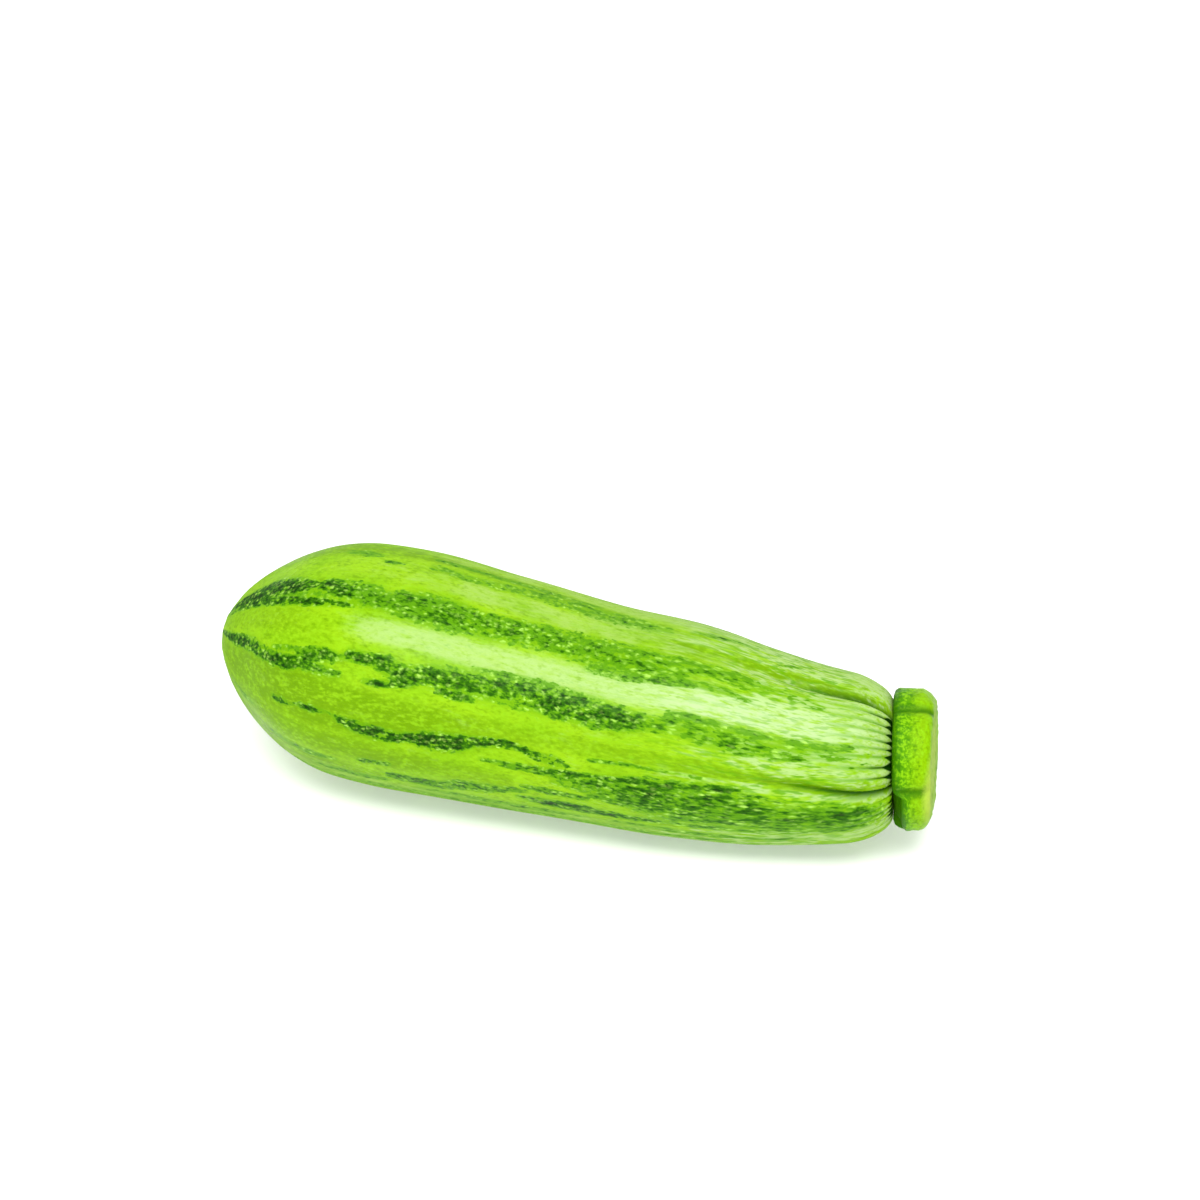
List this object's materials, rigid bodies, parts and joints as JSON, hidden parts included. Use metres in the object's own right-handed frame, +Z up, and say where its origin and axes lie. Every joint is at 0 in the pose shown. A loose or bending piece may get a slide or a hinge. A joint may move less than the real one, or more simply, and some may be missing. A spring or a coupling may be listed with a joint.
{
  "type": "zucchini",
  "caption": "Striped zucchini lying on its side: a blunt-ended green fruit with a short, lobed stub of stalk.",
  "frame": {"origin": "on the surface the zucchini lies on, under the middle of its bounding box", "axes": "+X along the fruit from the blossom end to the stem, +Z up from the surface"},
  "size_m": [0.1562, 0.0522, 0.0514],
  "materials": {
    "skin": "waxy half-gloss skin, light green with ragged dark green stripes along it",
    "stem": "rough, finely mottled green rind with a pale yellow-green cut face"
  },
  "bodies": {
    "root": {"fruit": "skin", "stem": "stem"}
  },
  "joints": []
}
